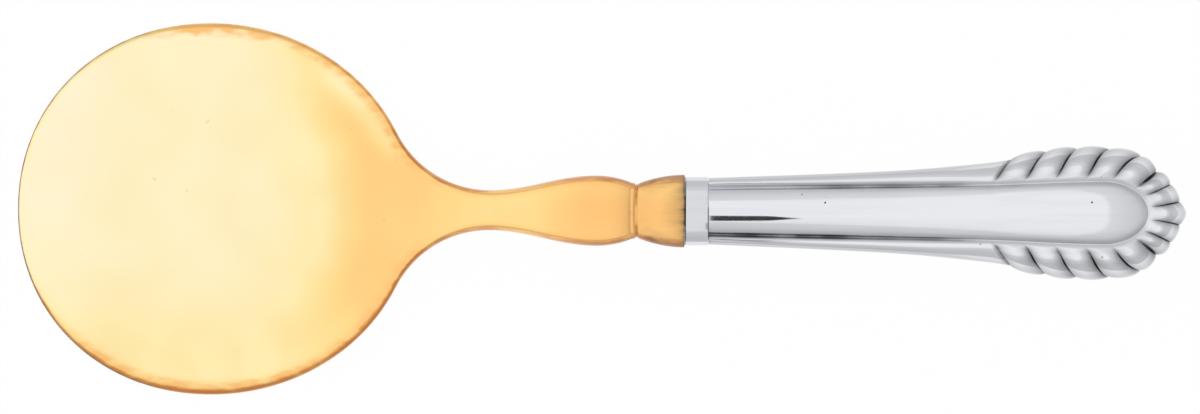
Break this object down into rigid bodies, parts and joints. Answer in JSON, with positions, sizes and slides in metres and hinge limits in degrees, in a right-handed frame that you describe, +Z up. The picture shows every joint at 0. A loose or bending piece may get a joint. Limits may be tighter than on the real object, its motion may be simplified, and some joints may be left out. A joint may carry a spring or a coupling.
{
  "type": "tomato server",
  "caption": "Round flat gilt blade on a cranked, waisted shank, set through a silver ferrule into a hollow silver handle with a gadrooned end, for lifting and serving tomato slices.",
  "frame": {"origin": "on the table under the middle of the server's length and width", "axes": "+X from the blade towards the handle's end, +Y across the blade, +Z up from the table"},
  "size_m": [0.19, 0.0604, 0.011],
  "materials": {
    "gilt": "polished gilding, worn and fine-scratched",
    "silver": "polished silver with darkened recesses",
    "cement": "dull resin"
  },
  "bodies": {
    "root": {"blade": "gilt", "ferrule": "silver", "handle_front_shell": "silver", "handle_back_shell": "silver", "handle_cement": "cement"}
  },
  "joints": []
}
